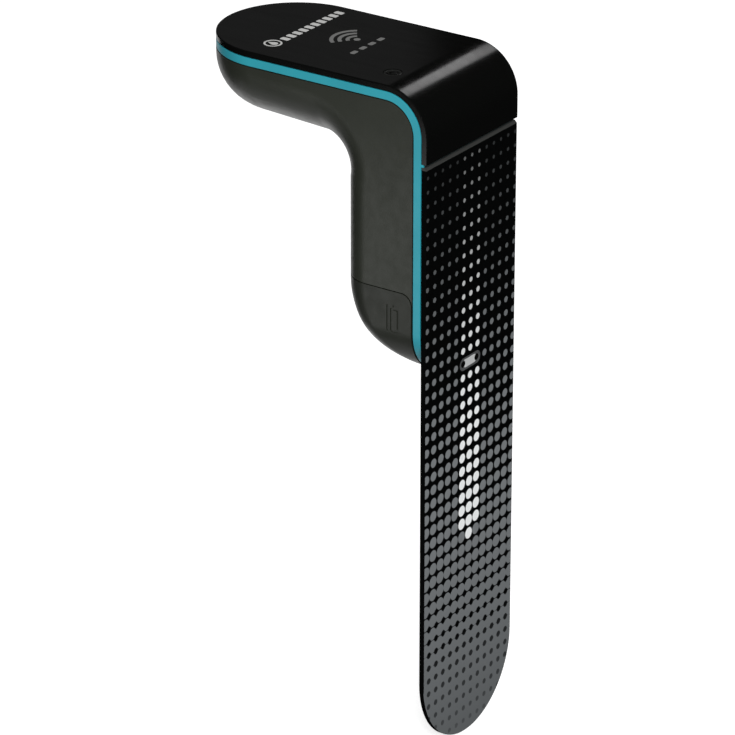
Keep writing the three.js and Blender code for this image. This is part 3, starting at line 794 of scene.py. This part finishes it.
def on_cover_edge(point):
    """The outer edges of the cover, without those against the frame."""
    if point.z < BEND_Z:
        return point.y < COVER_FRONT + 0.1
    if point.y > BEND_Y:
        return point.z > TOP - 0.1
    across = (point.y - BEND_Y) / (BEND_Y - COVER_FRONT)
    up = (point.z - BEND_Z) / (TOP - BEND_Z)
    return math.hypot(across, up) > 0.97


def power_button():
    """A round key with a shallow dish for the fingertip."""
    x, y = BUTTON_AT
    low, high = BUTTON_LOW.z, BUTTON_HIGH.z
    dish = arc((0, high + 5.9), (6.0, 6.0), 270, 281, 6)
    profile = [(0, low), (1.1, low), (1.1, high - 2.4), (BUTTON_RADIUS, high - 2.4)]
    profile += arc((BUTTON_RADIUS - 0.25, high - 0.25), (0.25, 0.25), 0, 90, 5)
    profile += reversed(dish)
    key = lathe("key", profile, x, y)
    return hand_over(
        key, "button_key", "button", FINISHES["cover_gloss"], ["power_button"])


def light_ring():
    x, y = BUTTON_AT
    low, high = RING_LOW.z, RING_HIGH.z
    flange = RING_HIGH.x - x
    profile = [(RING_BORE, low), (RING_RADIUS, low), (RING_RADIUS, low + 0.8), (flange, low + 0.8),
               (flange, low + 2), (RING_RADIUS, low + 2)]
    profile += arc((RING_RADIUS - 0.15, high - 0.15), (0.15, 0.15), 0, 90, 4)
    profile += arc((RING_BORE + 0.15, high - 0.15), (0.15, 0.15), 90, 180, 4)
    ring = lathe("ring", profile, x, y)
    return hand_over(ring, "light_guide_ring", "head", FINISHES["light"], ["light_ring"])


# ---------------------------------------------------------------- blade

def pill_outline(length, width, z):
    reach = (length - width) / 2
    radii = (width / 2, width / 2)
    return arc((reach, z), radii, -90, 90, 16) + arc((-reach, z), radii, 90, 270, 16)


PILL_Z = (PILL_LOW.z + PILL_HIGH.z) / 2
PILL_LENGTH = PILL_HIGH.x - PILL_LOW.x + 2 * GAP
PILL_WIDTH = PILL_HIGH.z - PILL_LOW.z + 2 * GAP


def measuring_blade():
    outline = [(HALF, BLADE_TOP), (-HALF, BLADE_TOP)]
    outline += arc((0, BLADE_STRAIGHT), (HALF, BLADE_STRAIGHT - BLADE_TIP), 180, 360, 72)
    blade = prism(outline, "y", 0, BLADE_BACK)
    soften(blade, CHAMFER, segments=1, near=lambda point: point.z > BLADE_TOP - 0.01 and point.y < 0.1)
    soften(blade, 0.14, near=lambda point: point.z < BLADE_TOP - CHAMFER)
    cut(blade, prism(pill_outline(PILL_LENGTH, PILL_WIDTH, PILL_Z), "y", -1, 1.2))
    return hand_over(blade, "blade_board", "head", FINISHES["blade"], ["measuring_blade"])


def temperature_sensor():
    """A pill-shaped window in the blade: bezel, a bright pad and two dark round windows."""
    length, width = PILL_LENGTH - 0.1, PILL_WIDTH - 0.1
    floor_y, face_y = 0.9, 0.02
    hole = PILL_LENGTH / 2 - PILL_WIDTH / 2 + 0.1
    bezel = prism(pill_outline(length, width, PILL_Z), "y", face_y, floor_y)
    soften(bezel, 0.08)
    cut(bezel, prism(pill_outline(length - 0.7, width - 0.7, PILL_Z), "y", -1, 0.2))
    hand_over(bezel, "sensor_bezel", "head", BEZEL_GREY, ["temperature_sensor"])
    pad = prism(pill_outline(2 * hole, width - 1.4, PILL_Z), "y", 0.06, 0.19)
    for side in (-1, 1):
        cut(pad, rod("y", (side * hole, PILL_Z), 1.16, -1, 1))
    soften(pad, 0.05)
    hand_over(pad, "sensor_pad", "head", PAD_SATIN)
    for side, name in ((-1, "left"), (1, "right")):
        lens = rod("y", (side * hole, PILL_Z), 0.98, 0.1, 0.19)
        soften(lens, 0.04)
        hand_over(lens, f"sensor_window_{name}", "head", FINISHES["cover_gloss"])


# ---------------------------------------------------------------- battery cap and cells

def battery_cap():
    cap = common(head_body(0), cap_space(CAP_FRONT, CAP_TOP, CAP_CORNER))
    inside = common(head_body(CAP_WALL), from_front(CAP_FRONT + CAP_WALL - 0.2))
    cut(cap, inside)
    for side in (-1, 1):
        rib_x = side * (RIGHT_LOW.x + RIGHT_HIGH.x) / 2
        rib = block(rib_x - 0.7, rib_x + 0.7, CAP_FRONT + 1, BACK, 1, BRIDGE_LOW.z - GAP)
        join(cap, common(rib, head_body(CAP_WALL / 2)))
    soften(cap, 0.28, near=lambda point: point.z > CAP_TOP - CAP_CORNER - 1 or point.y < CAP_FRONT + 0.5)
    for side in (-1, 1):
        low, high = sorted((side * (HALF - ICON_DEPTH), side * (HALF + 1)))
        cut(cap, prism(rounded(0.35, 4.1, 0.3, (13.0, 17.6)), "x", low, high))
        cell_mark = prism(rounded(1.5, 3.7, 0.7, CELL_MARK_AT), "x", low, high)
        hollow = prism(rounded(0.8, 3.0, 0.35, CELL_MARK_AT), "x", -FAR, FAR)
        nub_at = (CELL_MARK_AT[0], CELL_MARK_AT[1] + 4)
        join(cell_mark, prism(rounded(0.6, 0.5, 0.2, nub_at), "x", low, high))
        cut(cap, cut(cell_mark, hollow))
    return hand_over(cap, "cap_shell", "cap", FINISHES["cap"], ["battery_cap"])


def cap_seal():
    seal = collar_ring(COLLAR_OUTER - 0.05, COLLAR_OUTER + 0.7, COLLAR_FRONT, SEAL_LOW, SEAL_HIGH)
    soften(seal, 0.3)
    return hand_over(seal, "seal_ring", "head", FINISHES["rubber"], ["cap_seal"])


def battery_cell(name, body, node, low, high, nub_up):
    """A cell with rolled can edges, an insulating washer and its raised positive end."""
    x, y = (low.x + high.x) / 2, (low.y + high.y) / 2
    radius = (high.x - low.x) / 2
    length = high.z - low.z
    can = length - 1
    profile = [(0, 0.35), (radius - 2.6, 0.35)]
    profile += arc((radius - 2.2, 0.2), (0.2, 0.2), 180, 270, 3)
    profile += arc((radius - 0.6, 0.6), (0.6, 0.6), 270, 360, 6)
    profile += arc((radius - 0.6, can - 0.6), (0.6, 0.6), 0, 90, 6)
    profile += [(radius - 1.3, can), (radius - 1.5, can - 0.25), (3.4, can - 0.25), (3.0, can - 0.05)]
    profile += arc((2.3, length - 0.4), (0.4, 0.4), 0, 90, 5) + [(0, length)]
    cell = lathe("cell", profile, 0, 0, 72)
    if nub_up:
        cell.data.transform(Matrix.Translation((x, y, low.z)))
    else:
        cell.data.transform(Matrix.Translation((x, y, high.z)) @ Matrix.Rotation(math.pi, 4, "X"))
    return hand_over(cell, name, body, FINISHES["cell"], [node])


def spring(name, body, node, x, y, low, high):
    """A conical compression spring with a closed turn at its wide end."""
    turns = 3.5
    steps = 110
    wire = 0.3
    curve = bpy.data.curves.new("spring", "CURVE")
    curve.dimensions = "3D"
    line = curve.splines.new("POLY")
    line.points.add(steps)
    for i, point in enumerate(line.points):
        share = i / steps
        turn = 2 * math.pi * turns * share
        radius = 4.2 - 1.7 * share
        rise = low + wire + (high - low - 2 * wire) * max(share - 0.25, 0) / 0.75
        point.co = (x + radius * math.cos(turn), y + radius * math.sin(turn), rise, 1)
    curve.bevel_depth = wire
    curve.bevel_resolution = 3
    curve.use_fill_caps = True
    coil = bake(new_object("spring", curve))
    weld(coil.data)
    return hand_over(coil, name, body, FINISHES["contact_steel"], [node], 60)


# ---------------------------------------------------------------- printed marks on the top

def print_mark(name, finish, outlines):
    """Flat ink on the cover's top: a list of outlines, or pairs of an outline and its hole."""
    points = []
    faces = []
    for outer, inner in outlines:
        start = len(points)
        count = len(outer)
        for level in (TOP - 0.02, TOP + INK_THICK):
            points += [(x, y, level) for x, y in outer]
            points += [(x, y, level) for x, y in inner]
        per_level = count + len(inner)
        for i in range(count):
            j = (i + 1) % count
            faces.append((start + i, start + j, start + per_level + j, start + per_level + i))
            if inner:
                faces.append((start + count + j, start + count + i,
                              start + per_level + count + i, start + per_level + count + j))
                for level in (0, per_level):
                    faces.append((start + level + i, start + level + j,
                                  start + level + count + j, start + level + count + i))
        if not inner:
            faces.append(tuple(start + i for i in range(count)))
            faces.append(tuple(start + per_level + i for i in range(count)))
    mark = mesh_object("mark", points, faces)
    return hand_over(mark, name, "head", finish)


def droplet(x, y, height, steps=24):
    """A drop with its point upwards, towards the nose."""
    radius = height * 0.32
    centre = y - height / 2 + radius
    points = arc((x, centre), (radius, radius), 150, 390, steps)
    points.append((x, y + height / 2))
    return points


def wave(x, y, radius, width, start, end):
    steps = 24
    outer = arc((x, y), (radius, radius), start, end, steps)
    return outer + arc((x, y), (radius - width, radius - width), end, start, steps)


def top_marks():
    """Generic marks: a drop in a ring, a row of level bars, radio waves and a dashed line."""
    emblem = (-13.5, 59.0)
    ring = tuple(arc(emblem, (radius, radius), 0, 360 - 7.5, 47) for radius in (2.7, 2.15))
    drop = (droplet(emblem[0], emblem[1] + 0.1, 3.4), [])
    bars = [(rounded(0.95, 1.45, 0.45, (-8.6 + 2.95 * i, 58.2)), []) for i in range(10)]
    print_mark("mark_level_bars", WHITE_INK, [ring, drop] + bars)
    waves_at = (2.6, 41.2)
    waves = [(arc(waves_at, (1.0, 1.0), 0, 345, 23), [])]
    waves += [(wave(*waves_at, radius, 1.15, 35, 145), []) for radius in (3.3, 5.6, 7.9)]
    print_mark("mark_radio_waves", GREY_INK, waves)
    dashes = [(rounded(1.3, 0.8, 0.5, (-6.6 + 4.4 * i, 35.8)), []) for i in range(4)]
    print_mark("mark_dashes", GREY_INK, dashes)


# ---------------------------------------------------------------- stage

CAMERA_PLACE = (-1002.92, -660.32, 532.45)
CAMERA_RIGHT = (0.5702, -0.8215, 0.0)
CAMERA_UP = (0.3347, 0.2323, 0.9133)
CAMERA_LENS = 224.68
SENSOR_WIDTH = 36


def add_camera():
    data = bpy.data.cameras.new("camera")
    data.lens = CAMERA_LENS
    data.sensor_width = SENSOR_WIDTH
    data.clip_start = 0.1
    data.clip_end = 50
    camera = new_object("camera", data)
    right = Vector(CAMERA_RIGHT).normalized()
    back = right.cross(Vector(CAMERA_UP)).normalized()
    up = back.cross(right)
    turned = Matrix((right, up, back)).transposed().to_4x4()
    camera.matrix_world = Matrix.Translation(Vector(CAMERA_PLACE) * MM) @ turned
    bpy.context.scene.camera = camera


def softbox(name, aim, azimuth, elevation, distance, size, radiance, mirrored=True):
    """An area light aimed at a point, from an azimuth and elevation as seen from the front.

    The key lights without being mirrored; the cards are only mirrored.
    """
    data = bpy.data.lights.new(name, "AREA")
    data.shape = "RECTANGLE"
    data.size, data.size_y = size
    data.energy = radiance * math.pi * size[0] * size[1]
    light = new_object(name, data)
    around, above = math.radians(azimuth), math.radians(elevation)
    level = math.cos(above)
    outward = Vector((math.sin(around) * level, -math.cos(around) * level, math.sin(above)))
    light.location = Vector(aim) * MM + outward * distance
    light.rotation_mode = "QUATERNION"
    light.rotation_quaternion = outward.to_track_quat("Z", "Y")
    light.visible_camera = False
    light.visible_glossy = mirrored
    light.visible_diffuse = not mirrored


AMBIENT = 0.35
MIDDLE = (0, 20, 20)
BEND_AIM = (2, 8.5, 84.5)
SIDE_AIM = (-19, 10, 38)
NOSE_AIM = (-12, 72, 86)


def add_stage():
    """A pale floor and a white room that lights softly but isn't mirrored in the gloss."""
    floor = prism(arc((0, 0), (6000, 6000), 0, 357, 119), "z", BLADE_TIP - 10, BLADE_TIP - 0.2)
    floor.name = "floor"
    floor.data.transform(Matrix.Scale(MM, 4))
    pale = Finish("floor_pale", (0.9, 0.9, 0.9), 0.9, specular=0.0)
    pale.shader.inputs["Emission Color"].default_value = (1, 1, 1, 1)
    pale.shader.inputs["Emission Strength"].default_value = 0.6
    floor.data.materials.append(pale.material)
    floor.visible_diffuse = False
    floor.visible_glossy = False
    floor.visible_shadow = False

    world = bpy.data.worlds.new("room")
    bpy.context.scene.world = world
    world.use_nodes = True
    tree = world.node_tree
    background = tree.nodes["Background"]
    background.inputs["Color"].default_value = (1, 1, 1, 1)
    path = tree.nodes.new("ShaderNodeLightPath")
    strength = tree.nodes.new("ShaderNodeMapRange")
    strength.inputs["To Min"].default_value = AMBIENT
    strength.inputs["To Max"].default_value = 1.0
    tree.links.new(path.outputs["Is Camera Ray"], strength.inputs["Value"])
    tree.links.new(strength.outputs[0], background.inputs["Strength"])
    world.cycles_visibility.glossy = False

    softbox("key", MIDDLE, -48, 34, 1.5, (0.8, 0.8), 12, mirrored=False)
    softbox("bend_strip", BEND_AIM, 96.8, 41, 0.15, (0.044, 0.045), 2.5)
    softbox("side_card", SIDE_AIM, -124.7, -24, 0.2, (0.08, 0.08), 1.1)
    softbox("under_card", MIDDLE, 168, -62, 1.0, (1.3, 0.9), 0.42)
    softbox("back_card", MIDDLE, 140, -34, 1.2, (1.05, 1.0), 0.75)
    softbox("top_card", NOSE_AIM, 125, 24, 0.3, (0.12, 0.12), 0.06)
    bpy.context.scene.view_settings.view_transform = "Standard"


# ---------------------------------------------------------------- assembly

add_camera()
add_stage()

for part in frame["record"]["subparts"]:
    node = frame["nodes"][part["node"]]
    node.data.materials.clear()
    node.data.materials.append(FINISHES[part["material_slot"]])

rear_housing()
frame_band()
top_cover()
power_button()
light_ring()
measuring_blade()
temperature_sensor()
battery_cap()
cap_seal()
battery_cell("cell_left", "cell_left", "battery_cell_left", LEFT_LOW, LEFT_HIGH, nub_up=True)
battery_cell("cell_right", "cell_right", "battery_cell_right", RIGHT_LOW, RIGHT_HIGH, nub_up=False)
spring("spring_in_cap", "cap", "bridge_spring",
       (LEFT_LOW.x + LEFT_HIGH.x) / 2, (LEFT_LOW.y + LEFT_HIGH.y) / 2, BRIDGE_HIGH.z, LEFT_LOW.z)
spring("spring_in_head", "head", "contact_spring",
       (RIGHT_LOW.x + RIGHT_HIGH.x) / 2, (RIGHT_LOW.y + RIGHT_HIGH.y) / 2, RIGHT_HIGH.z, PLATE_LOW.z)
top_marks()
